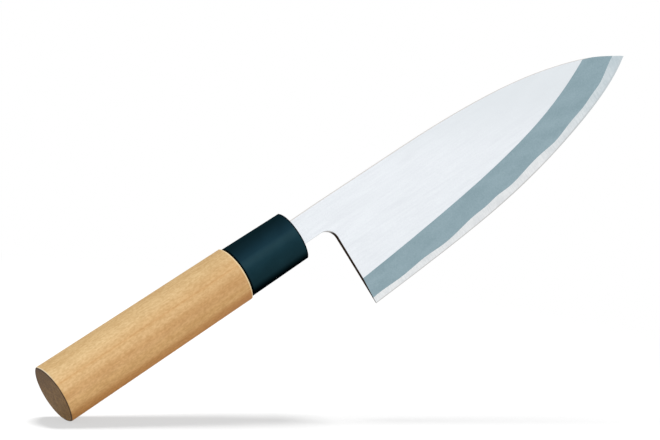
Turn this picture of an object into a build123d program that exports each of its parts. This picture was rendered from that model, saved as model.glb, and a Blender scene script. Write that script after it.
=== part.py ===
from build123d import *
import os

# Deba knife with a single bevelled blade for a right hand, in millimetres.
# The origin is the centre of the flat butt of the handle. +X runs along the handle to the tip,
# +Z points from the cutting edge to the spine, and -Y is the bevelled right side of the blade.

os.makedirs("parts", exist_ok=True)

# Lengths along the knife
wood_length = 102.8
ferrule_length = 32.2
neck_length = 16.4
blade_length = 165.0

# Blade: its height is from the spine down to the corner of the heel
blade_height = 52.5
spine_height = 6.6
heel_thickness = 3.4
tip_thickness = 1.5
edge_thickness = 0.12
flat_taper_share = 0.33
heel_lean = 0.65
choil_radius = 5.6
spine_chamfer = 0.3
facing_up_share = 0.5

# Side view of the blade: a share of its length, then how far below the spine's level the spine,
# the upper line of the bevel and the cutting edge lie there, as shares of the blade's height
blade_outline_shares = (
    (0.00, 0.000, 0.757, 1.000),
    (0.15, 0.000, 0.716, 0.973),
    (0.30, 0.000, 0.668, 0.941),
    (0.45, 0.009, 0.610, 0.896),
    (0.60, 0.041, 0.530, 0.823),
    (0.72, 0.093, 0.437, 0.740),
    (0.84, 0.183, 0.302, 0.634),
    (0.93, 0.288, 0.168, 0.527),
    (1.00, 0.407, 0.040, 0.407),
)
straight_spine_share = 0.30
before_heel_shares = (-0.03, 0.000, 0.765, 1.005)
past_tip_shares = (1.04, 0.490, -0.040, 0.330)
cut_margin = 1.0

# Neck and tang
neck_height = 12.2
neck_drop = 0.25
tang_root_height = 10.4
tang_root_thickness = 2.8
tang_end_height = 6.4
tang_end_thickness = 2.2
tang_depth = 84.0

# Steel layer of the back: its thickness wanders as it was forged, so the weld is a wavy line
steel_thickness = 0.70
steel_before_heel = 5.0
weld_wave_shares = (
    (0.000, 0.96),
    (0.035, 0.99),
    (0.108, 0.88),
    (0.190, 1.01),
    (0.257, 0.85),
    (0.322, 1.00),
    (0.380, 1.13),
    (0.420, 1.07),
    (0.460, 1.12),
    (0.505, 0.97),
    (0.580, 1.03),
    (0.643, 0.98),
    (0.690, 0.80),
    (0.760, 0.83),
    (0.820, 0.74),
    (0.862, 0.75),
    (0.892, 0.71),
    (0.925, 0.76),
    (1.000, 0.62),
)

# Hollow of the back: ground shallow inside a flat rim, and running out through the heel.
# A share of the blade's length, of the hollow's depth, and of the blade's height for the rim above
hollow_depth = 0.26
edge_rim = 3.0
hollow_shares = (
    (-0.03, 0.80, 0.270),
    (0.08, 0.95, 0.130),
    (0.25, 1.00, 0.095),
    (0.45, 1.00, 0.090),
    (0.62, 0.85, 0.095),
    (0.76, 0.55, 0.100),
    (0.87, 0.15, 0.110),
)

# Handle: a chestnut section, round on the left and with one soft ridge on the right. Shares of its
# width place its corners from the blade's middle plane, and it narrows alike all round
butt_height = 28.5
butt_width = 24.1
butt_to_joint_inset = 1.1
left_side_share = 0.545
left_height_share = -0.07
ridge_side_share = -0.455
ridge_height_share = 0.17
crown_side_share = 0.06
foot_side_share = -0.03
upper_bulge_share = 0.058
lower_bulge_share = 0.071
wood_corner_share = 0.16
butt_rounding = 0.7
rim_rounding = 0.9

# Ferrule over the spigot of the handle: the same section with softer corners, eased at both ends
ferrule_height = 24.8
ferrule_width = 19.2
joint_to_front_inset = 0.58
ferrule_wall = 1.6
ferrule_face = 3.0
ferrule_corner_share = 0.20
ferrule_chamfer = 0.3
joint_chamfer = 0.5

# Resin gaps round the neck in the slot and round the tang in the wood
slot_gap = 0.35
hole_gap = 0.8
hole_past_tang = 3.0

# Places worked out from the sizes above
ferrule_front = wood_length + ferrule_length
spigot_end = ferrule_front - ferrule_face
heel = ferrule_front + neck_length
back_face = heel_thickness / 2
neck_top = spine_height - neck_drop
neck_bottom = neck_top - neck_height
neck_middle = (neck_top + neck_bottom) / 2
tang_end = ferrule_front - tang_depth
hole_end = tang_end - hole_past_tang

# Height, width and roundness of the corners for the two outlines of the grip
wood_size = (butt_height, butt_width, wood_corner_share)
ferrule_size = (ferrule_height, ferrule_width, ferrule_corner_share)


def along(length_share):
    """X of a station on the blade."""
    return heel + length_share * blade_length


def level(drop_share):
    """Z of a point a share of the blade's height below the spine's level."""
    return spine_height - drop_share * blade_height


def thickness(length_share, drop_share):
    """Blade thickness, thinner towards the tip and a little thinner down the flat."""
    run = max(length_share, 0)
    at_spine = heel_thickness - (heel_thickness - tip_thickness) * run**2
    return at_spine * (1 - flat_taper_share * drop_share)


def plan_section(drop_share):
    """The blade seen from above at one level: a straight back and a right face that tapers."""
    shares = [row[0] for row in blade_outline_shares] + [past_tip_shares[0]]
    right = [(along(share), back_face - thickness(share, drop_share)) for share in shares]
    start = (spigot_end, right[0][1])
    end_slope = (right[-1][0] - right[-2][0], right[-1][1] - right[-2][1])
    with BuildSketch(Plane.XY.offset(level(drop_share))) as section:
        with BuildLine():
            Line(start, right[0])
            Spline(*right, tangents=[(1, 0), end_slope])
            Polyline(right[-1], (right[-1][0], back_face), (spigot_end, back_face), start)
        make_face()
    return section.sketch


def bevel_section(length_share, _, shinogi_share, edge_share):
    """What the bevel takes off at one station: a triangle under the line from ridge to edge."""
    edge_y = back_face - edge_thickness
    ridge_y = back_face - thickness(length_share, shinogi_share)
    rise = (level(shinogi_share) - level(edge_share)) / (edge_y - ridge_y)
    inner_y = back_face + cut_margin
    outer_y = back_face - thickness(length_share, 0) - cut_margin
    lowest = level(edge_share) - rise * (inner_y - edge_y)
    highest = level(edge_share) + rise * (edge_y - outer_y)
    with BuildSketch(Plane.YZ.offset(along(length_share))) as section:
        with BuildLine():
            Polyline((inner_y, lowest), (outer_y, highest), (outer_y, lowest), close=True)
        make_face()
    return section.sketch


def outline_at(length_share, column):
    """A column of the side view between its stations, read along straight lines."""
    rows = (before_heel_shares,) + blade_outline_shares
    for near, far in zip(rows, rows[1:]):
        if near[0] <= length_share <= far[0]:
            way = (length_share - near[0]) / (far[0] - near[0])
            return near[column] + way * (far[column] - near[column])


def hollow_section(length_share, depth_share, rim_share):
    """The shallow arc that the grindstone leaves in the back at one station."""
    top = level(outline_at(length_share, 1) + rim_share)
    bottom = level(outline_at(length_share, 3)) + edge_rim
    deepest = back_face - hollow_depth * depth_share
    outside = back_face + cut_margin
    with BuildSketch(Plane.YZ.offset(along(length_share))) as section:
        with BuildLine():
            ThreePointArc((back_face, bottom), (deepest, (top + bottom) / 2), (back_face, top))
            Polyline((back_face, top), (outside, top), (outside, bottom), (back_face, bottom))
        make_face()
    return section.sketch


def handle_section(x, height, width, corner_share, inset):
    """Chestnut section: four arcs whose corners are rounded by growing an inner outline."""
    corner = width * corner_share
    half_height = height / 2 - corner
    left = (width * left_side_share - corner, half_height * left_height_share)
    ridge = (width * ridge_side_share + corner, half_height * ridge_height_share)
    crown = (width * crown_side_share, half_height)
    foot = (width * foot_side_share, -half_height)
    with BuildSketch(Plane.YZ.offset(x)) as section:
        with BuildLine():
            TangentArc(left, crown, tangent=(0, 1))
            TangentArc(left, foot, tangent=(0, -1))
            SagittaArc(foot, ridge, height * lower_bulge_share)
            SagittaArc(ridge, crown, height * upper_bulge_share)
        make_face()
        offset(amount=corner - inset, kind=Kind.ARC)
    return section.sketch


def tang_section(x, height, width, gap):
    """The tang's oblong section, or with a gap all round it the section of the hole for it."""
    with BuildSketch(Plane.YZ.offset(x)) as section:
        with Locations((0, neck_middle)):
            Rectangle(width + 2 * gap, height + 2 * gap)
    return section.sketch


# Blade before it is parted into its two metals: the tapered blank, the eased spine, the bevel
# and the hollow
spine_points = [
    (along(row[0]), level(row[1])) for row in blade_outline_shares if row[0] >= straight_spine_share
]
tip_slope = (spine_points[-1][0] - spine_points[-2][0], spine_points[-1][1] - spine_points[-2][1])
edge_points = [(along(row[0]), level(row[3])) for row in reversed(blade_outline_shares)]
choil_corner = (heel + heel_lean, neck_bottom)

with BuildPart() as blade:
    loft(sections=[plan_section(past_tip_shares[2]), plan_section(before_heel_shares[3])], ruled=True)
    with BuildSketch(Plane.XZ.offset(-heel_thickness)) as side_view:
        with BuildLine():
            Polyline((spigot_end, neck_top), (heel, level(0)), spine_points[0])
            Spline(*spine_points, tangents=[(1, 0), tip_slope])
            Spline(*edge_points)
            Polyline(edge_points[-1], choil_corner, (spigot_end, neck_bottom), (spigot_end, neck_top))
        make_face()
        fillet(side_view.vertices().sort_by_distance(choil_corner)[0], choil_radius)
    extrude(amount=2 * heel_thickness, mode=Mode.INTERSECT)
    spine_faces = blade.faces().filter_by(lambda face: face.normal_at().Z > facing_up_share)
    spine_edges = [edge for edge in spine_faces.edges() if edge.length > 2 * heel_thickness]
    chamfer(spine_edges, spine_chamfer)
    bevel_rows = (before_heel_shares,) + blade_outline_shares + (past_tip_shares,)
    loft(sections=[bevel_section(*row) for row in bevel_rows], mode=Mode.SUBTRACT)
    loft(sections=[hollow_section(*row) for row in hollow_shares], mode=Mode.SUBTRACT)

# The steel layer's room: from the flat back to the wavy weld, over the whole height of the blade
weld_points = [
    (along(share), back_face - steel_thickness * wave) for share, wave in weld_wave_shares
]
weld_start = (heel - steel_before_heel, weld_points[0][1])
weld_end = (along(past_tip_shares[0]), weld_points[-1][1])

with BuildPart() as steel_room:
    with BuildSketch(Plane.XY.offset(level(before_heel_shares[3]))):
        with BuildLine():
            Line(weld_start, weld_points[0])
            Spline(*weld_points)
            Polyline(
                weld_points[-1],
                weld_end,
                (weld_end[0], back_face + cut_margin),
                (weld_start[0], back_face + cut_margin),
                weld_start,
            )
        make_face()
    extrude(amount=blade_height + cut_margin)

# Hard steel layer with the cutting edge and the flat back
with BuildPart() as cutting_steel:
    add(blade)
    add(steel_room, mode=Mode.INTERSECT)

cutting_steel.part.label = "cutting_steel"
export_step(cutting_steel.part, "parts/cutting_steel.step")

# Soft iron body with the neck, and the tapered tang that goes into the handle
with BuildPart() as blade_body:
    add(blade)
    add(steel_room, mode=Mode.SUBTRACT)
    loft(
        sections=[
            tang_section(tang_end, tang_end_height, tang_end_thickness, 0),
            tang_section(spigot_end, tang_root_height, tang_root_thickness, 0),
        ],
        ruled=True,
    )

blade_body.part.label = "blade_body"
export_step(blade_body.part, "parts/blade_body.step")

# Room for the resin: the slot in the ferrule's face and the tapered hole in the wood
with BuildPart() as tang_room:
    extrude(tang_section(spigot_end, neck_height, heel_thickness, slot_gap), amount=ferrule_face)
    loft(
        sections=[
            tang_section(hole_end, tang_end_height, tang_end_thickness, hole_gap),
            tang_section(spigot_end, tang_root_height, tang_root_thickness, hole_gap),
        ],
        ruled=True,
    )

# Resin bedding round the tang and the neck
with BuildPart() as tang_bedding:
    add(tang_room)
    add(blade, mode=Mode.SUBTRACT)
    add(blade_body, mode=Mode.SUBTRACT)

tang_bedding.part.label = "tang_bedding"
export_step(tang_bedding.part, "parts/tang_bedding.step")

# Room inside the ferrule, which the spigot of the handle fills
spigot_inset = joint_to_front_inset * (ferrule_length - ferrule_face) / ferrule_length

with BuildPart() as spigot:
    loft(
        sections=[
            handle_section(wood_length, *ferrule_size, ferrule_wall),
            handle_section(spigot_end, *ferrule_size, ferrule_wall + spigot_inset),
        ],
        ruled=True,
    )

# Wooden handle: tapered chestnut body with eased ends, the spigot and the hole for the tang
with BuildPart() as handle:
    loft(
        sections=[
            handle_section(0, *wood_size, 0),
            handle_section(wood_length, *wood_size, butt_to_joint_inset),
        ],
        ruled=True,
    )
    fillet(handle.faces().sort_by(Axis.X)[0].edges(), butt_rounding)
    fillet(handle.faces().sort_by(Axis.X)[-1].edges(), rim_rounding)
    add(spigot)
    add(tang_room, mode=Mode.SUBTRACT)

handle.part.label = "handle"
export_step(handle.part, "parts/handle.step")

# Moulded ferrule: a cap over the spigot with both ends eased and a slot for the neck
with BuildPart() as ferrule:
    loft(
        sections=[
            handle_section(wood_length, *ferrule_size, 0),
            handle_section(ferrule_front, *ferrule_size, joint_to_front_inset),
        ],
        ruled=True,
    )
    chamfer(ferrule.faces().sort_by(Axis.X)[-1].edges(), ferrule_chamfer)
    chamfer(ferrule.faces().sort_by(Axis.X)[0].edges(), joint_chamfer)
    add(spigot, mode=Mode.SUBTRACT)
    add(tang_room, mode=Mode.SUBTRACT)

ferrule.part.label = "ferrule"
export_step(ferrule.part, "parts/ferrule.step")
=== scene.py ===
# %% [markdown]
# # A deba knife, dressed round its fixed frame
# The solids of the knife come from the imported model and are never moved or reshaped. This
# lesson gives each of them the finish of the real piece, sets a white studio round them, and
# places a camera where the photographer stood.
#
# Every length is in metres, in the model's own frame: the handle lies along X with its butt
# at zero, the spine looks up along Z, and the bevelled right side of the blade looks along -Y.

# %% Load the frame
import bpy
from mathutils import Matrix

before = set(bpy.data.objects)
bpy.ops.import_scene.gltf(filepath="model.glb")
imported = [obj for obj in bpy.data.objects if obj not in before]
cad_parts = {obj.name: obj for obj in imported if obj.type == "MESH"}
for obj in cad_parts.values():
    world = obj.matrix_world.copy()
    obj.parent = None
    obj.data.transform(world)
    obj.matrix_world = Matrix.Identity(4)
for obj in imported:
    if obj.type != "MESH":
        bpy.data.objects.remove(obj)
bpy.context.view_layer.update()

# %% The other things that this lesson needs
import math

import bmesh
import bpy
from mathutils import Matrix, Vector

MM = 0.001

# %% [markdown]
# ## Where the photographer stood
# The picture looks at the bevelled side from 20 degrees towards the butt and 3 degrees above,
# through a long lens, and it is turned so that the knife climbs to the right. The picture is
# 660 x 440, and the target is the point of the knife's middle plane that it is centred on.
# The turn of the picture is part of the camera's own axes, so nothing else has to be tilted.

# %% Camera axes
SIDE_ANGLE = math.radians(-20.0)
RAISED = math.radians(3.0)
PICTURE_TURN = math.radians(32.453)
CAMERA_DISTANCE = 4.0
CAMERA_TARGET = Vector((153.57, 0.0, -3.23)) * MM

towards_camera = Vector((
    math.sin(SIDE_ANGLE) * math.cos(RAISED),
    -math.cos(SIDE_ANGLE) * math.cos(RAISED),
    math.sin(RAISED),
))
level_right = Vector((math.cos(SIDE_ANGLE), math.sin(SIDE_ANGLE), 0.0))
level_up = towards_camera.cross(level_right)
picture_right = math.cos(PICTURE_TURN) * level_right - math.sin(PICTURE_TURN) * level_up
picture_up = math.sin(PICTURE_TURN) * level_right + math.cos(PICTURE_TURN) * level_up
print("picture up in the model's frame:", [round(part, 3) for part in picture_up])

# %% [markdown]
# The lens was found together with the distance: at 4 m the knife fills the frame through a
# 488 mm lens on a 36 mm wide sensor. A longer distance would flatten the picture more, a
# shorter one would make the butt too large against the tip.

# %% Camera
LENS_MM = 487.8
SENSOR_MM = 36.0

camera_data = bpy.data.cameras.new("photo_camera")
camera_data.lens = LENS_MM
camera_data.sensor_width = SENSOR_MM
camera_data.clip_start = 0.1
camera_data.clip_end = 50.0
camera = bpy.data.objects.new("photo_camera", camera_data)
bpy.context.scene.collection.objects.link(camera)


def facing(right, up, back, place):
    """The matrix of a camera, lamp or sheet with these three axes at this place."""
    axes = Matrix((right, up, back)).transposed().to_4x4()
    return Matrix.Translation(place) @ axes


camera.matrix_world = facing(
    picture_right, picture_up, towards_camera, CAMERA_TARGET + CAMERA_DISTANCE * towards_camera
)
bpy.context.scene.camera = camera
print("camera at, mm:", [round(1000 * part) for part in camera.matrix_world.translation])

# %% [markdown]
# ## Tools for the materials
# Colours are written as the hex values that a picture editor shows, and one function turns
# them to the linear values that the shaders add up. A second function adds a node with its
# settings and its links, whatever kind of node it is.

# %% Colour and node helpers
def from_hex(text):
    """Linear red, green, blue and alpha of an sRGB hex colour."""
    parts = [int(text[place:place + 2], 16) / 255 for place in (1, 3, 5)]
    linear = [part / 12.92 if part <= 0.04045 else ((part + 0.055) / 1.055) ** 2.4 for part in parts]
    return (*linear, 1.0)


def node(tree, kind, inputs=None, **settings):
    """Adds one node. Each input is a plain value, or the socket that feeds it."""
    made = tree.nodes.new(kind)
    for name, value in settings.items():
        setattr(made, name, value)
    for socket, value in (inputs or {}).items():
        if isinstance(value, bpy.types.NodeSocket):
            tree.links.new(value, made.inputs[socket])
        else:
            made.inputs[socket].default_value = value
    return made


print("a middle grey, #808080, is linear", round(from_hex("#808080")[0], 3))

# %% Helpers for whole materials
def new_material(name):
    """An empty material with its output, and the tree to build it in."""
    material = bpy.data.materials.new(name)
    material.use_nodes = True
    material.node_tree.nodes.clear()
    return material, material.node_tree, node(material.node_tree, "ShaderNodeOutputMaterial")


def dress(node_name, material):
    """Gives a CAD node its finish as its one material slot."""
    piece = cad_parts[node_name]
    piece.data.materials.clear()
    piece.data.materials.append(material)
    print(node_name, "wears", material.name)


# %% [markdown]
# A mix of two colours by a share, and a share that rises from 0 to 1 between two levels, turn
# up in every material, so they are written once as plain node settings. A noise spends nearly
# all of its surface between two levels, and these are the ends of most shares.

# %% Settings that come up again
MIX_COLOURS = {"data_type": "RGBA"}
MULTIPLY_COLOURS = {"data_type": "RGBA", "blend_type": "MULTIPLY"}
EASED = {"interpolation_type": "SMOOTHSTEP"}
NOISE_LOW, NOISE_HIGH = 0.35, 0.65
TWO_NOISES_LOW, TWO_NOISES_HIGH = 0.75, 1.25


def rising(low, high, value):
    """Inputs of a Map Range that rises from 0 to 1 as the value goes from low to high."""
    return {"Value": value, "From Min": low, "From Max": high, "To Min": 0.0, "To Max": 1.0}


print("a noise counts from", NOISE_LOW, "to", NOISE_HIGH)

# %% [markdown]
# ## Soft stainless iron: the body of the blade
# The body is a soft stainless iron. Its flat is ground along the blade and satin-finished,
# so it is nearly white and its scratches run from handle to tip. Below the ridge the bevel is
# ground on a fine wet stone and left matt, so it reads as a calm blue-grey band. The cut face
# at the heel and a thin line along it are painted dark brown and not metallic: a painted dark
# reflection, so the look of bare metal ends there.
#
# It could have a material for each face, but the imported solid is one piece with one slot, and
# masks need no faces picked by hand. So one material holds them all. The bevel, the cut and
# the narrow faces of spine and neck are told apart by the way that the surface faces, because
# the grinding changed at the ridges between them, and the thin dark line beside the cut by its
# distance from the cut. The narrow faces are painted a grey-beige as shade.

# %% Sizes on the blade's body
SATIN_SCRATCH_MM = 0.9           # real scratches are 0.05 mm; drawn as wide as a pixel shows
SATIN_SCRATCH_LENGTH_MM = 14.0
SATIN_FADES_FROM, SATIN_FADES_TO = 188 * MM, 262 * MM
SPINE_FADES_MORE = 2.5           # how much the height counts beside the length in that fading
SATIN_LOW, SATIN_HIGH = 0.7, 1.3
HAZE_PATCH_MM = 5.0
HAZE_GRIT_MM = 0.7               # the grit's marks are 0.01 mm; drawn as wide as a pixel shows
CHOIL_RADIUS = 5.6 * MM          # the curve between the neck's underside and the cut at the heel
CHOIL_CENTRE_X, CHOIL_CENTRE_Z = 146.54 * MM, -11.45 * MM
HEEL_LEAN = 0.0162               # how far the cut moves to the tip per unit of height
# The thin line along the cut, with this width, fade and strength, is painted dark with the cut as a
# dark reflection
DARK_LINE_WIDTH, DARK_LINE_FADE = 0.18 * MM, 0.1 * MM
DARK_LINE_FAINT, DARK_LINE_FAINT_AT, DARK_LINE_FULL_AT = 0.4, -7.5 * MM, -12.5 * MM
# Parts of the surface's normal at which one finish gives way to the next
BEVEL_FROM, BEVEL_TO = -0.9985, -0.997      # along Y: the flat looks squarely to the right side
NARROW_AT = -0.85                           # along Y: the chamfers and narrow faces look less so
NARROW_FROM, NARROW_TO = 0.4, 0.6           # along Z, up or down
CUT_FROM, CUT_TO = -0.55, -0.95             # along X: the cut looks back to the butt
print("a face is all bevel from a lean of, degrees:", round(math.degrees(math.acos(-BEVEL_TO)), 1))
print("the burr ends from the curve's centre at, mm:", round((CHOIL_RADIUS + DARK_LINE_WIDTH) / MM, 2))


# %% Mask of the cut
def cut_end(tree, faces):
    """Mask of the cut end at the heel, from the parts of the surface's normal."""
    return node(tree, "ShaderNodeMapRange", rising(
        CUT_FROM, CUT_TO, faces.outputs["X"]), **EASED).outputs[0]


# %% Mask of the burr
def heel_dark_line(tree, places):
    """Mask of the thin line along the cut at the heel that is painted dark with the cut, as part
    of its painted dark reflection. It follows the cut into the curve and along the neck's
    underside, where it is fainter. One distance covers all three: that from the curve's centre,
    with what lies behind or below the centre counted as level with it."""
    height = places.outputs["Z"]
    upright = node(tree, "ShaderNodeMath", {
        0: height, 1: -HEEL_LEAN, 2: places.outputs["X"]}, operation="MULTIPLY_ADD")
    place = node(tree, "ShaderNodeCombineXYZ", {"X": upright.outputs[0], "Z": height})
    from_centre = node(tree, "ShaderNodeVectorMath", {
        0: place.outputs[0], 1: (CHOIL_CENTRE_X, 0.0, CHOIL_CENTRE_Z)}, operation="SUBTRACT")
    outwards = node(tree, "ShaderNodeVectorMath", {
        0: from_centre.outputs[0], 1: (0.0, 0.0, 0.0)}, operation="MAXIMUM")
    distance = node(tree, "ShaderNodeVectorMath", {0: outwards.outputs[0]}, operation="LENGTH")
    dark_line_end = CHOIL_RADIUS + DARK_LINE_WIDTH
    dark_line = node(tree, "ShaderNodeMapRange", rising(
        dark_line_end, dark_line_end - DARK_LINE_FADE, distance.outputs["Value"]))
    strength = node(tree, "ShaderNodeMapRange", {
        "Value": height, "From Min": DARK_LINE_FAINT_AT, "From Max": DARK_LINE_FULL_AT,
        "To Min": DARK_LINE_FAINT, "To Max": 1.0})
    return node(tree, "ShaderNodeMath", {
        0: dark_line.outputs[0], 1: strength.outputs[0]}, operation="MULTIPLY").outputs[0]


# %% Noise by its size in millimetres
def stretched_noise(tree, coordinates, sizes_mm, detail=3.0):
    """Noise whose patches have these sizes along X, Y and Z."""
    scale = node(tree, "ShaderNodeMapping", {
        "Vector": coordinates.outputs["Object"],
        "Scale": tuple(1 / (size * MM) for size in sizes_mm),
    })
    return node(tree, "ShaderNodeTexNoise", {
        "Vector": scale.outputs[0], "Scale": 1.0, "Detail": detail, "Roughness": 0.55,
    }).outputs["Fac"]


# %% Patterns on the iron
soft_iron, tree, output = new_material("soft_stainless_iron_ground")
coordinates = node(tree, "ShaderNodeTexCoord")
places = node(tree, "ShaderNodeSeparateXYZ", {0: coordinates.outputs["Object"]})
faces = node(tree, "ShaderNodeSeparateXYZ", {0: coordinates.outputs["Normal"]})
tilted = node(tree, "ShaderNodeMapRange", rising(BEVEL_FROM, BEVEL_TO, faces.outputs["Y"]))
not_narrow = node(tree, "ShaderNodeMath", {0: faces.outputs["Y"], 1: NARROW_AT},
                  operation="LESS_THAN")
bevel = node(tree, "ShaderNodeMath", {0: tilted.outputs[0], 1: not_narrow.outputs[0]},
             operation="MULTIPLY")
steepness = node(tree, "ShaderNodeMath", {0: faces.outputs["Z"]}, operation="ABSOLUTE")
narrow = node(tree, "ShaderNodeMapRange", rising(NARROW_FROM, NARROW_TO, steepness.outputs[0]))
scratches = stretched_noise(
    tree, coordinates, (SATIN_SCRATCH_LENGTH_MM, SATIN_SCRATCH_MM, SATIN_SCRATCH_MM))
patches = stretched_noise(tree, coordinates, (HAZE_PATCH_MM * 3, HAZE_PATCH_MM, HAZE_PATCH_MM))
grit = stretched_noise(tree, coordinates, (HAZE_GRIT_MM, HAZE_GRIT_MM, HAZE_GRIT_MM))

# %% Colours of the satin flat
satin_tone = node(tree, "ShaderNodeMath", {0: scratches, 1: grit}, operation="ADD")
satin_share = node(tree, "ShaderNodeMapRange", rising(SATIN_LOW, SATIN_HIGH, satin_tone.outputs[0]))
satin_near = node(tree, "ShaderNodeMix", {
    0: satin_share.outputs[0], 6: from_hex("#e1e5ea"), 7: from_hex("#e8ecf0")}, **MIX_COLOURS)
tipwards = node(tree, "ShaderNodeMath", {
    0: places.outputs["Z"], 1: SPINE_FADES_MORE, 2: places.outputs["X"]}, operation="MULTIPLY_ADD")
towards_tip = node(tree, "ShaderNodeMapRange", rising(
    SATIN_FADES_FROM, SATIN_FADES_TO, tipwards.outputs[0]), **EASED)
satin_colour = node(tree, "ShaderNodeMix", {
    0: towards_tip.outputs[0], 6: satin_near.outputs[2], 7: from_hex("#dde2e6")}, **MIX_COLOURS)

# %% Colours of the matt bevel, and all of the iron together
haze_tone = node(tree, "ShaderNodeMath", {0: patches, 1: grit}, operation="ADD")
haze_share = node(tree, "ShaderNodeMapRange", rising(
    TWO_NOISES_LOW, TWO_NOISES_HIGH, haze_tone.outputs[0]))
haze_colour = node(tree, "ShaderNodeMix", {
    0: haze_share.outputs[0], 6: from_hex("#8fa5ad"), 7: from_hex("#9bb0b8")}, **MIX_COLOURS)
faces_colour = node(tree, "ShaderNodeMix", {
    0: bevel.outputs[0], 6: satin_colour.outputs[2], 7: haze_colour.outputs[2]}, **MIX_COLOURS)
# The narrow faces of spine and neck are painted a grey-beige shade along the blade's outline
spine_shaded_colour = node(tree, "ShaderNodeMix", {
    0: narrow.outputs[0], 6: faces_colour.outputs[2], 7: from_hex("#d4d0cd")}, **MIX_COLOURS)
# The cut face and the thin line along it are painted dark brown, not metallic: a painted dark
# reflection
painted_dark_reflection = node(tree, "ShaderNodeMath", {
    0: cut_end(tree, faces), 1: heel_dark_line(tree, places)}, operation="MAXIMUM")
iron_colour = node(tree, "ShaderNodeMix", {
    0: painted_dark_reflection.outputs[0], 6: spine_shaded_colour.outputs[2], 7: from_hex("#36291f")}, **MIX_COLOURS)

# %% Shader of the iron
satin_roughness = node(tree, "ShaderNodeMapRange", {
    "Value": scratches, "From Min": 0.3, "From Max": 0.7, "To Min": 0.3, "To Max": 0.4})
iron_roughness = node(tree, "ShaderNodeMix", {
    0: bevel.outputs[0], 2: satin_roughness.outputs[0], 3: 0.6})
iron_bump = node(tree, "ShaderNodeBump", {
    "Height": scratches, "Strength": 0.25, "Distance": 0.01 * MM})
outside_dark_reflection = node(tree, "ShaderNodeMath", {0: 1.0, 1: painted_dark_reflection.outputs[0]}, operation="SUBTRACT")
iron_shader = node(tree, "ShaderNodeBsdfPrincipled", {
    "Base Color": iron_colour.outputs[2], "Metallic": outside_dark_reflection.outputs[0],
    "Specular IOR Level": 0.0,
    "Roughness": iron_roughness.outputs[0], "Normal": iron_bump.outputs[0]})
tree.links.new(iron_shader.outputs[0], output.inputs["Surface"])
dress("blade_body", soft_iron)

# %% [markdown]
# ## Hard steel: the cutting layer
# The thin layer that carries the edge is hard steel. It takes a brighter and finer finish on
# the same stone, so below the wavy weld line the bevel turns pale. The strokes on the stone
# leave fine scratches across the edge, and a greyer line marks where the edge itself was
# honed. The same steel is the back of the knife: its rim is honed flat, and the shallow hollow
# inside the rim keeps the satin lines of the wheel. Towards the tip the steel turns bluer.
#
# The weld line needs no drawing, because the two metals are two solids that meet there. The
# honed line and the hollow are found by their place through the blade: the edge is the part
# of the bevel nearest to the back, and the hollow lies a little deeper than the rim.

# %% Sizes on the cutting layer
STONE_SCRATCH_MM = 0.6           # real scratches are 0.02 mm; drawn as wide as a pixel shows
STONE_SCRATCH_LENGTH_MM = 5.0
STEEL_PATCH_MM = 4.0
HONING_FADES_FROM, HONING_FADES_TO = 255 * MM, 318 * MM
# Places through the blade, from its middle plane to its back
EDGE_LINE_FROM, EDGE_LINE_TO = 1.49 * MM, 1.53 * MM
HOLLOW_FROM, HOLLOW_TO = 1.69 * MM, 1.66 * MM
print("the steel fades over, mm:", round((HONING_FADES_TO - HONING_FADES_FROM) / MM))

# %% Patterns on the steel
hard_steel, tree, output = new_material("hard_stainless_steel_honed")
coordinates = node(tree, "ShaderNodeTexCoord")
places = node(tree, "ShaderNodeSeparateXYZ", {0: coordinates.outputs["Object"]})
scratches = stretched_noise(
    tree, coordinates, (STONE_SCRATCH_MM, STONE_SCRATCH_MM, STONE_SCRATCH_LENGTH_MM))
patches = stretched_noise(tree, coordinates, (STEEL_PATCH_MM * 2, STEEL_PATCH_MM, STEEL_PATCH_MM))
steel_tone = node(tree, "ShaderNodeMath", {0: patches, 1: scratches}, operation="ADD")
steel_share = node(tree, "ShaderNodeMapRange", rising(
    TWO_NOISES_LOW, TWO_NOISES_HIGH, steel_tone.outputs[0]))

# %% Colours of the honed bevel and of the edge
honed_near = node(tree, "ShaderNodeMix", {
    0: steel_share.outputs[0], 6: from_hex("#dadddf"), 7: from_hex("#e9ebec")}, **MIX_COLOURS)
honed_far = node(tree, "ShaderNodeMix", {
    0: steel_share.outputs[0], 6: from_hex("#bac8ce"), 7: from_hex("#ccd6db")}, **MIX_COLOURS)
towards_tip = node(tree, "ShaderNodeMapRange", rising(
    HONING_FADES_FROM, HONING_FADES_TO, places.outputs["X"]))
honed_colour = node(tree, "ShaderNodeMix", {
    0: towards_tip.outputs[0], 6: honed_near.outputs[2], 7: honed_far.outputs[2]}, **MIX_COLOURS)
at_edge = node(tree, "ShaderNodeMapRange", rising(
    EDGE_LINE_FROM, EDGE_LINE_TO, places.outputs["Y"]))
faces = node(tree, "ShaderNodeSeparateXYZ", {0: coordinates.outputs["Normal"]})
on_the_right = node(tree, "ShaderNodeMath", {0: faces.outputs["Y"], 1: 0.0}, operation="LESS_THAN")
on_the_back = node(tree, "ShaderNodeMath", {0: 1.0, 1: on_the_right.outputs[0]}, operation="SUBTRACT")
edge_line = node(tree, "ShaderNodeMath", {0: at_edge.outputs[0], 1: on_the_right.outputs[0]},
                 operation="MULTIPLY")
line_colour = node(tree, "ShaderNodeMix", {
    0: towards_tip.outputs[0], 6: from_hex("#c6c5c4"), 7: from_hex("#c3cdd2")}, **MIX_COLOURS)
lined_colour = node(tree, "ShaderNodeMix", {
    0: edge_line.outputs[0], 6: honed_colour.outputs[2], 7: line_colour.outputs[2]}, **MIX_COLOURS)

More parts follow.
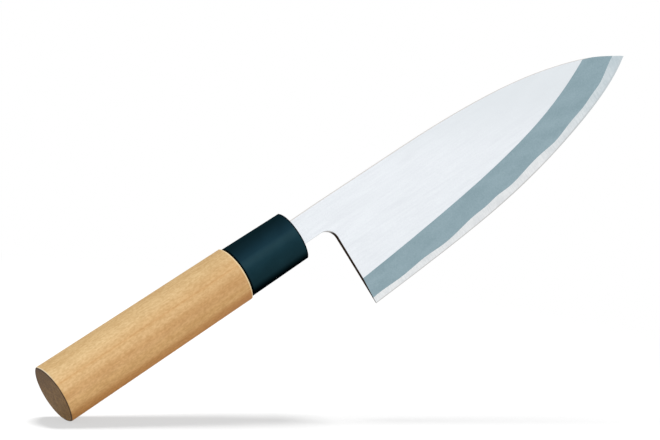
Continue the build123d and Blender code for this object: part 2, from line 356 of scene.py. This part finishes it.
# %% Colours of the hollow back, and all of the steel together
below_rim = node(tree, "ShaderNodeMapRange", rising(
    HOLLOW_FROM, HOLLOW_TO, places.outputs["Y"]))
hollow = node(tree, "ShaderNodeMath", {0: below_rim.outputs[0], 1: on_the_back.outputs[0]},
              operation="MULTIPLY")
wheel_lines = stretched_noise(
    tree, coordinates, (SATIN_SCRATCH_LENGTH_MM, SATIN_SCRATCH_MM, SATIN_SCRATCH_MM))
wheel_share = node(tree, "ShaderNodeMapRange", rising(NOISE_LOW, NOISE_HIGH, wheel_lines))
wheel_colour = node(tree, "ShaderNodeMix", {
    0: wheel_share.outputs[0], 6: from_hex("#bcc4c8"), 7: from_hex("#cfd5d8")}, **MIX_COLOURS)
both_colours = node(tree, "ShaderNodeMix", {
    0: hollow.outputs[0], 6: lined_colour.outputs[2], 7: wheel_colour.outputs[2]}, **MIX_COLOURS)
# The cut face and the thin line along it are painted dark brown, not metallic: a painted dark
# reflection
painted_dark_reflection = node(tree, "ShaderNodeMath", {
    0: cut_end(tree, faces), 1: heel_dark_line(tree, places)}, operation="MAXIMUM")
outside_dark_reflection = node(tree, "ShaderNodeMath", {0: 1.0, 1: painted_dark_reflection.outputs[0]}, operation="SUBTRACT")
steel_colour = node(tree, "ShaderNodeMix", {
    0: painted_dark_reflection.outputs[0], 6: both_colours.outputs[2], 7: from_hex("#36291f")}, **MIX_COLOURS)

# %% Shader of the steel
steel_roughness = node(tree, "ShaderNodeMapRange", {
    "Value": scratches, "From Min": 0.3, "From Max": 0.7, "To Min": 0.3, "To Max": 0.45})
steel_bump = node(tree, "ShaderNodeBump", {
    "Height": scratches, "Strength": 0.3, "Distance": 0.01 * MM})
steel_shader = node(tree, "ShaderNodeBsdfPrincipled", {
    "Base Color": steel_colour.outputs[2], "Metallic": outside_dark_reflection.outputs[0],
    "Specular IOR Level": 0.0,
    "Roughness": steel_roughness.outputs[0], "Normal": steel_bump.outputs[0]})
tree.links.new(steel_shader.outputs[0], output.inputs["Surface"])
dress("cutting_steel", hard_steel)

# %% [markdown]
# ## Magnolia: the handle
# The handle is plain magnolia, a pale and very even wood, sanded and left without lacquer.
# Its fibres run along the handle and its year rings are wide and faint. A flat pattern for
# each side would be simpler, but it would not meet at the corners. So the rings are real rings
# round a far-off centre of the tree, and the same pattern gives long lines on the sides and
# shallow arcs on the end grain. End grain drinks in light and dirt, so the butt is darker, and
# its colour is darkened further with painted shade; its rim is painted darkest, as the shade of
# the eased edge.
#
# On the sides the wood is palest on the upper half and browner at the belly, most of all near
# the joint. This is partly the wood's own colour and partly painted sheen above and painted
# shade at the belly, and the extra brown near the joint is painted shade. A thin darker line
# along the ridge is painted shade. The eased edges at the joint and round the top of the butt
# carry painted highlights.

# %% Sizes and colours on the handle
RING_WIDTH_MM = 5.0
RINGS_ALONG = 0.12               # the waver of a ring is drawn out along the handle
ONE_RING_PER_UNIT = 0.314        # scale at which the wave texture has one ring for each unit
TREE_CENTRE_MM = (0.0, 28.0, -55.0)
FIBRE_MM = 0.8                   # real fibres are 0.05 mm wide; drawn as wide as a pixel shows
FIBRE_LENGTH_MM = 18.0
SILK_MM = (9.0, 3.0, 3.0)
PORE_MM = (1.6, 0.9, 0.9)        # real pores are 0.1 mm wide; drawn as wide as a pixel shows
WOOD_HALF_HEIGHT = 14.25 * MM
BELLY_FROM, BELLY_TO = -8.0 * MM, -14.0 * MM
CROWN_FROM, CROWN_TO = 4.0 * MM, 9.0 * MM
# Places along the handle, from the joint back to the butt
RIM_FROM, RIM_TO = 101.7 * MM, 102.3 * MM
# Where the painted shade on the belly starts, towards the joint
BELLY_SHADE_FROM = 70.0 * MM
BUTT_EASED_FROM, BUTT_EASED_TO = 0.9 * MM, 0.5 * MM
END_GRAIN_FROM, END_GRAIN_TO = 0.4 * MM, 0.2 * MM
# Width and levels of the painted shade round the rim of the butt
RIM_SHADE_WIDTH = 1.6 * MM
RIM_SHADE_FROM, RIM_SHADE_TO = -0.99, -0.9      # how squarely the softened surface looks backwards
# Height on the section, from the belly to the top, and the wood's colour there. It is partly
# the wood's own colour, partly painted sheen on the upper half and painted shade at the belly,
# and the darker stop at 0.61 is a painted shade line along the ridge.
WOOD_COLOURS_AND_PAINTED_LIGHT = (
    (0.02, "#d99850"), (0.22, "#f8ce92"), (0.34, "#edc088"),
    (0.59, "#f7d29c"), (0.61, "#efc48c"), (0.63, "#f8d49f"),
    (0.80, "#f4d4a0"), (0.95, "#e8c791"),
)
# End grain's colours from belly to top, darkened with painted shade
END_GRAIN_COLOURS = ((0.0, "#a8824c"), (1.0, "#684a24"))
print("year rings across the handle:", round(2 * WOOD_HALF_HEIGHT / (RING_WIDTH_MM * MM), 1))


# %% Colours by height, and patterns over them
def colours_by_height(tree, places, half_height, height_colours, interpolation="LINEAR"):
    """Colour that runs through these stops from the belly of the section to its top."""
    height_share = node(tree, "ShaderNodeMapRange", rising(
        -half_height, half_height, places.outputs["Z"]))
    ramp = node(tree, "ShaderNodeValToRGB", {0: height_share.outputs[0]})
    ramp.color_ramp.interpolation = interpolation
    stops = ramp.color_ramp.elements
    for count, (share, colour) in enumerate(height_colours):
        stop = stops[count] if count < len(stops) else stops.new(share)
        stop.position, stop.color = share, from_hex(colour)
    return ramp.outputs[0]


def mottled(tree, colour, *patterns):
    """Multiplies a colour by the tint of each pattern, from full at its first level to none at
    its second."""
    for pattern, full, none, tint in patterns:
        share = node(tree, "ShaderNodeMapRange", rising(full, none, pattern))
        shade = node(tree, "ShaderNodeMix", {
            0: share.outputs[0], 6: from_hex(tint), 7: from_hex("#ffffff")}, **MIX_COLOURS)
        colour = node(tree, "ShaderNodeMix", {0: 1.0, 6: colour, 7: shade.outputs[2]},
                      **MULTIPLY_COLOURS).outputs[2]
    return colour


# %% Patterns in the wood
magnolia, tree, output = new_material("magnolia_sanded")
coordinates = node(tree, "ShaderNodeTexCoord")
places = node(tree, "ShaderNodeSeparateXYZ", {0: coordinates.outputs["Object"]})
from_centre = node(tree, "ShaderNodeMapping", {
    "Vector": coordinates.outputs["Object"],
    "Location": tuple(-place / RING_WIDTH_MM for place in TREE_CENTRE_MM),
    "Scale": tuple(share / (RING_WIDTH_MM * MM) for share in (RINGS_ALONG, 1.0, 1.0)),
})
rings = node(tree, "ShaderNodeTexWave", {
    "Vector": from_centre.outputs[0], "Scale": ONE_RING_PER_UNIT, "Distortion": 2.2, "Detail": 2.0,
    "Detail Scale": 0.6}, wave_type="RINGS", rings_direction="X")
fibres = stretched_noise(tree, coordinates, (FIBRE_LENGTH_MM, FIBRE_MM, FIBRE_MM))
silk = stretched_noise(tree, coordinates, SILK_MM)
pores = stretched_noise(tree, coordinates, PORE_MM, detail=1.0)

# %% Colours of the handle's sides
side_colour = mottled(
    tree, colours_by_height(tree, places, WOOD_HALF_HEIGHT, WOOD_COLOURS_AND_PAINTED_LIGHT),
    (rings.outputs["Fac"], 0.0, 1.0, "#f8f3ec"),
    (fibres, NOISE_LOW, NOISE_HIGH, "#f9f6f0"),
    (silk, NOISE_LOW, NOISE_HIGH, "#f7f4f0"),
    (pores, NOISE_LOW, NOISE_HIGH, "#f1ebe2"),
    (places.outputs["X"], RIM_TO, 0.0, "#f5f2ee"))
# Painted shade: the belly is darker towards the joint
at_belly = node(tree, "ShaderNodeMapRange", rising(
    BELLY_FROM, BELLY_TO, places.outputs["Z"]), **EASED)
before_joint = node(tree, "ShaderNodeMapRange", rising(
    BELLY_SHADE_FROM, RIM_FROM, places.outputs["X"]), **EASED)
belly_shade = node(tree, "ShaderNodeMath", {0: at_belly.outputs[0], 1: before_joint.outputs[0]},
            operation="MULTIPLY")
belly_shaded_colour = node(tree, "ShaderNodeMix", {
    0: belly_shade.outputs[0], 6: side_colour, 7: from_hex("#c2864c")}, **MIX_COLOURS)
# The eased rim at the joint gets a painted highlight
rim_highlight_share = node(tree, "ShaderNodeMapRange", rising(
    RIM_FROM, RIM_TO, places.outputs["X"]), **EASED)
rim_highlight_colour = node(tree, "ShaderNodeMix", {
    0: rim_highlight_share.outputs[0], 6: belly_shaded_colour.outputs[2], 7: from_hex("#f6dcae")}, **MIX_COLOURS)
# The eased edge round the top of the butt gets a painted highlight
near_crown = node(tree, "ShaderNodeMapRange", rising(
    CROWN_FROM, CROWN_TO, places.outputs["Z"]))
at_butt = node(tree, "ShaderNodeMapRange", rising(
    BUTT_EASED_FROM, BUTT_EASED_TO, places.outputs["X"]))
eased_highlight = node(tree, "ShaderNodeMath", {0: near_crown.outputs[0], 1: at_butt.outputs[0]},
             operation="MULTIPLY")
eased_highlight_colour = node(tree, "ShaderNodeMix", {
    0: eased_highlight.outputs[0], 6: rim_highlight_colour.outputs[2], 7: from_hex("#f0dcba")}, **MIX_COLOURS)

# %% Colours of the end grain
end_grain_share = node(tree, "ShaderNodeMapRange", rising(
    END_GRAIN_FROM, END_GRAIN_TO, places.outputs["X"]))
# The butt's rim is painted darkest, as shade on the eased edge
softened = node(tree, "ShaderNodeBevel", {"Radius": RIM_SHADE_WIDTH}, samples=8)
softened_parts = node(tree, "ShaderNodeSeparateXYZ", {0: softened.outputs[0]})
rim_shade = node(tree, "ShaderNodeMapRange", rising(
    RIM_SHADE_FROM, RIM_SHADE_TO, softened_parts.outputs["X"]))
end_grain_tone = node(tree, "ShaderNodeMix", {
    0: rim_shade.outputs[0],
    6: colours_by_height(tree, places, WOOD_HALF_HEIGHT, END_GRAIN_COLOURS),
    7: from_hex("#4a3826")}, **MIX_COLOURS)
end_grain_colour = mottled(
    tree, end_grain_tone.outputs[2],
    (silk, NOISE_LOW, NOISE_HIGH, "#dcd8d4"),
    (pores, NOISE_LOW, NOISE_HIGH, "#d0ccc8"))

# %% Shader of the wood
handle_colour = node(tree, "ShaderNodeMix", {
    0: end_grain_share.outputs[0], 6: eased_highlight_colour.outputs[2], 7: end_grain_colour}, **MIX_COLOURS)
handle_bump = node(tree, "ShaderNodeBump", {
    "Height": fibres, "Strength": 0.35, "Distance": 0.05 * MM})
handle_shader = node(tree, "ShaderNodeBsdfPrincipled", {
    "Base Color": handle_colour.outputs[2], "Roughness": 0.62, "IOR": 1.45,
    "Specular IOR Level": 0.3, "Normal": handle_bump.outputs[0]})
tree.links.new(handle_shader.outputs[0], output.inputs["Surface"])
dress("handle", magnolia)

# %% [markdown]
# ## Polypropylene: the ferrule
# The ferrule is injection-moulded polypropylene, blue-black, with the fine matt texture that
# an etched mould leaves. The texture scatters the light, so it has no sharp highlight. A faint
# lighter band along the ridge is a painted sheen, and the fall to darker towards the crown and
# the belly is painted shade: the plastic's colour changes with the height on the section,
# because a small lamp that made the sheen would also put a hard light on the blade. Its two
# ends, in the corner against the wood and round the front edge, are painted nearly black as
# shade.

# %% Sizes and colours on the ferrule
MOULD_TEXTURE_MM = 0.5           # an etched mould has pits of 0.1 mm; drawn as wide as they show
CLOUD_MM = (9.0, 6.0, 6.0)
FERRULE_HALF_HEIGHT = 12.4 * MM
# Height on the section, from the belly to the top, and the plastic's colour there, with a
# painted sheen along the ridge and painted shade towards the crown and the belly
FERRULE_PAINTED_SHEEN_COLOURS = (
    (0.07, "#041014"), (0.16, "#183138"), (0.45, "#1d3a44"), (0.57, "#27444e"),
    (0.66, "#1d3945"), (0.90, "#10252c"),
)
# Places painted nearly black as shade: the corner against the wood and the front edge
JOINT_SHADE_FROM, JOINT_SHADE_TO = 103.3 * MM, 104.1 * MM
FRONT_SHADE_FROM, FRONT_SHADE_TO = 134.1 * MM, 134.7 * MM
print("the ferrule's front is dark from, mm:", round(FRONT_SHADE_FROM / MM, 1))

# %% Colours of the ferrule
polypropylene, tree, output = new_material("polypropylene_moulded_matt")
coordinates = node(tree, "ShaderNodeTexCoord")
places = node(tree, "ShaderNodeSeparateXYZ", {0: coordinates.outputs["Object"]})
mould_texture = stretched_noise(tree, coordinates, (MOULD_TEXTURE_MM,) * 3, detail=2.0)
cloud = stretched_noise(tree, coordinates, CLOUD_MM)
# Painted sheen along the ridge and painted shade towards the crown and the belly
painted_sheen_and_shade = colours_by_height(
    tree, places, FERRULE_HALF_HEIGHT, FERRULE_PAINTED_SHEEN_COLOURS, interpolation="CARDINAL")
sheen_and_cloud_colour = mottled(tree, painted_sheen_and_shade, (cloud, NOISE_LOW, NOISE_HIGH, "#f0f0f0"))
# The corner against the wood and the front edge are painted nearly black as shade
joint_shade_share = node(tree, "ShaderNodeMapRange", rising(
    JOINT_SHADE_TO, JOINT_SHADE_FROM, places.outputs["X"]), **EASED)
front_shade_share = node(tree, "ShaderNodeMapRange", rising(
    FRONT_SHADE_FROM, FRONT_SHADE_TO, places.outputs["X"]), **EASED)
end_shade_share = node(tree, "ShaderNodeMath", {0: joint_shade_share.outputs[0], 1: front_shade_share.outputs[0]},
                 operation="MAXIMUM")
ferrule_colour = node(tree, "ShaderNodeMix", {
    0: end_shade_share.outputs[0], 6: sheen_and_cloud_colour, 7: from_hex("#020506")}, **MIX_COLOURS)

# %% Shader of the ferrule
ferrule_bump = node(tree, "ShaderNodeBump", {
    "Height": mould_texture, "Strength": 0.4, "Distance": 0.03 * MM})
ferrule_shader = node(tree, "ShaderNodeBsdfPrincipled", {
    "Base Color": ferrule_colour.outputs[2], "Roughness": 0.6, "IOR": 1.49,
    "Specular IOR Level": 0.0, "Normal": ferrule_bump.outputs[0]})
tree.links.new(ferrule_shader.outputs[0], output.inputs["Surface"])
dress("ferrule", polypropylene)

# %% [markdown]
# ## Epoxy: the bedding of the tang
# Only a hair-thin frame of the resin shows, round the neck in the slot of the ferrule. It was
# poured and wiped, so it is dark and a little glossier than the ferrule. A frame that thin
# shows no pattern but the marks of the wiping, so those are all that it has.

# %% Finish of the resin
WIPE_MARK_MM = 1.0

epoxy, tree, output = new_material("epoxy_wiped")
coordinates = node(tree, "ShaderNodeTexCoord")
wipe_marks = stretched_noise(tree, coordinates, (WIPE_MARK_MM,) * 3)
wiped_colour = node(tree, "ShaderNodeMix", {
    0: wipe_marks, 6: from_hex("#15191b"), 7: from_hex("#23282b")}, **MIX_COLOURS)
epoxy_shader = node(tree, "ShaderNodeBsdfPrincipled", {
    "Base Color": wiped_colour.outputs[2], "Roughness": 0.4, "IOR": 1.5})
tree.links.new(epoxy_shader.outputs[0], output.inputs["Surface"])
dress("tang_bedding", epoxy)

# %% [markdown]
# ## The white sheet under the knife
# In the picture the knife stands on the lower corner of its butt, on a white sheet that is
# seen from just above and falls a little to the right. The sheet keeps the soft strip of
# shadow under the knife and fades into plain white further out. It is seen from above only:
# from below it lets the look through, so that it never hides the knife.

# %% Sheet
SHEET_SIZE = 2.4
SHEET_SEEN_FROM = math.radians(10.5)
SHEET_FALL = math.radians(3.0)

sheet_right = math.cos(SHEET_FALL) * picture_right - math.sin(SHEET_FALL) * picture_up
upright = math.cos(SHEET_FALL) * picture_up + math.sin(SHEET_FALL) * picture_right
sheet_up = math.cos(SHEET_SEEN_FROM) * upright + math.sin(SHEET_SEEN_FROM) * towards_camera
sheet_back = sheet_up.cross(sheet_right)
handle_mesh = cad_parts["handle"].data
lowest = min((vertex.co for vertex in handle_mesh.vertices), key=lambda place: place.dot(sheet_up))

sheet_mesh = bpy.data.meshes.new("white_sheet")
shape = bmesh.new()
bmesh.ops.create_grid(
    shape, x_segments=1, y_segments=1, size=SHEET_SIZE / 2,
    matrix=facing(sheet_right, sheet_back, sheet_up, lowest))
shape.to_mesh(sheet_mesh)
shape.free()
sheet = bpy.data.objects.new("white_sheet", sheet_mesh)
bpy.context.scene.collection.objects.link(sheet)
print("the knife stands on its butt at, mm:", [round(1000 * part, 1) for part in lowest])
print("the sheet looks up:", sheet.data.polygons[0].normal.dot(sheet_up) > 0)

# %% [markdown]
# The sheet's white is partly its own and partly what the lamps give it. Away from the knife
# its own white takes over, so it meets the white background without an edge. The light that
# it throws back at the knife is that of a duller paper.

# %% Sheet's whites and the share of direct looks
SHEET_FADES_FROM, SHEET_FADES_TO = 0.38, 0.25
OWN_WHITE, CAST_WHITE = 0.61, 0.28
WHITE = (1.0, 1.0, 1.0, 1.0)


def seen_directly(tree):
    """Share that is 1 for the camera's own look, for reflections and for looks through glass."""
    rays = node(tree, "ShaderNodeLightPath")
    mirrored = node(tree, "ShaderNodeMath", {
        0: rays.outputs["Is Camera Ray"], 1: rays.outputs["Is Glossy Ray"]}, operation="MAXIMUM")
    return node(tree, "ShaderNodeMath", {
        0: mirrored.outputs[0], 1: rays.outputs["Is Transmission Ray"]},
        operation="MAXIMUM").outputs[0]


print("the sheet turns plain white from the butt at, m:", SHEET_FADES_FROM)

# %% Finish of the sheet
paper, tree, output = new_material("white_studio_paper")
coordinates = node(tree, "ShaderNodeTexCoord")
surface = node(tree, "ShaderNodeNewGeometry")
from_butt = node(tree, "ShaderNodeVectorMath", {
    0: coordinates.outputs["Object"], 1: tuple(lowest)}, operation="DISTANCE")
near_share = node(tree, "ShaderNodeMapRange", rising(
    SHEET_FADES_FROM, SHEET_FADES_TO, from_butt.outputs["Value"]), **EASED)
shaded = node(tree, "ShaderNodeBsdfDiffuse", {"Color": from_hex("#5d5d5d")})
own_white = node(tree, "ShaderNodeEmission", {"Color": WHITE, "Strength": OWN_WHITE})
near_white = node(tree, "ShaderNodeAddShader", {0: shaded.outputs[0], 1: own_white.outputs[0]})
cast_white = node(tree, "ShaderNodeEmission", {"Color": WHITE, "Strength": CAST_WHITE})
cast = node(tree, "ShaderNodeAddShader", {0: shaded.outputs[0], 1: cast_white.outputs[0]})
far_white = node(tree, "ShaderNodeEmission", {"Color": WHITE, "Strength": 1.0})
seen = node(tree, "ShaderNodeMixShader", {
    0: near_share.outputs[0], 1: far_white.outputs[0], 2: near_white.outputs[0]})
upper_side = node(tree, "ShaderNodeMixShader", {
    0: seen_directly(tree), 1: cast.outputs[0], 2: seen.outputs[0]})
clear = node(tree, "ShaderNodeBsdfTransparent")
paper_shader = node(tree, "ShaderNodeMixShader", {
    0: surface.outputs["Backfacing"], 1: upper_side.outputs[0], 2: clear.outputs[0]})
tree.links.new(paper_shader.outputs[0], output.inputs["Surface"])
sheet.data.materials.append(paper)
print(sheet.name, "wears", paper.name)

# %% [markdown]
# ## Light
# A white room gives most of the light. The camera and the reflections see it as plain white,
# and a metal that mirrors it shows its colour as it was written. One large soft box, in front
# of the bevelled side and above it, lifts the upper faces a little more than the belly and the
# butt. It lights the knife only, so the sheet keeps its white.

# %% White room
AMBIENT = 0.74

world = bpy.data.worlds.new("white_room")
bpy.context.scene.world = world
world.use_nodes = True
tree = world.node_tree
tree.nodes.clear()
ambient = node(tree, "ShaderNodeBackground", {"Color": WHITE, "Strength": AMBIENT})
white = node(tree, "ShaderNodeBackground", {"Color": WHITE, "Strength": 1.0})
room = node(tree, "ShaderNodeMixShader", {
    0: seen_directly(tree), 1: ambient.outputs[0], 2: white.outputs[0]})
node(tree, "ShaderNodeOutputWorld", {"Surface": room.outputs[0]})
print("the room lights the knife at", AMBIENT, "of white")

# %% Soft boxes
def soft_box(name, direction, distance, width, depth, watts):
    """A lamp in this direction from the knife's middle, turned to face it. Its width runs along
    the picture."""
    lamp_data = bpy.data.lights.new(name, "AREA")
    lamp_data.shape = "RECTANGLE"
    lamp_data.size = width
    lamp_data.size_y = depth
    lamp_data.energy = watts
    lamp = bpy.data.objects.new(name, lamp_data)
    bpy.context.scene.collection.objects.link(lamp)
    direction = direction.normalized()
    upwards = direction.cross(picture_right).normalized()
    lamp.matrix_world = facing(
        upwards.cross(direction), upwards, direction, CAMERA_TARGET + distance * direction)
    print(name, "at, mm:", [round(1000 * part) for part in lamp.matrix_world.translation])
    return lamp


def lights_only(lamp, *objects):
    """Keeps this lamp's light to these objects."""
    lit = bpy.data.collections.new("lit_by_" + lamp.name)
    for one in objects:
        lit.objects.link(one)
    lamp.light_linking.receiver_collection = lit


front_lamp = soft_box(
    "soft_box_front", Vector((0.30, -0.75, 0.58)), distance=1.3, width=1.0, depth=1.0, watts=5.0)
lights_only(front_lamp, *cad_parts.values())

# %% [markdown]
# The soft shadow under the knife comes from a smaller lamp above it, nearly in the plane of
# the blade, so that the blade throws only a thin line. The lamp is wider along the picture than
# across it, which makes the ends of the shadow softer than its sides. It lights the sheet only,
# so that it draws the shadow and leaves the knife's own light alone.

# %% Lamp for the shadow
above_knife = picture_up - 0.04 * picture_right - 0.185 * towards_camera
shadow_lamp = soft_box(
    "soft_box_shadow", above_knife, distance=1.6, width=0.55, depth=0.35, watts=104.0)
lights_only(shadow_lamp, sheet)

# %% [markdown]
# ## Colours as they are written
# The Standard view shows a colour as its hex value says, so the finishes above can be read
# straight off the picture.

bpy.context.scene.view_settings.view_transform = "Standard"
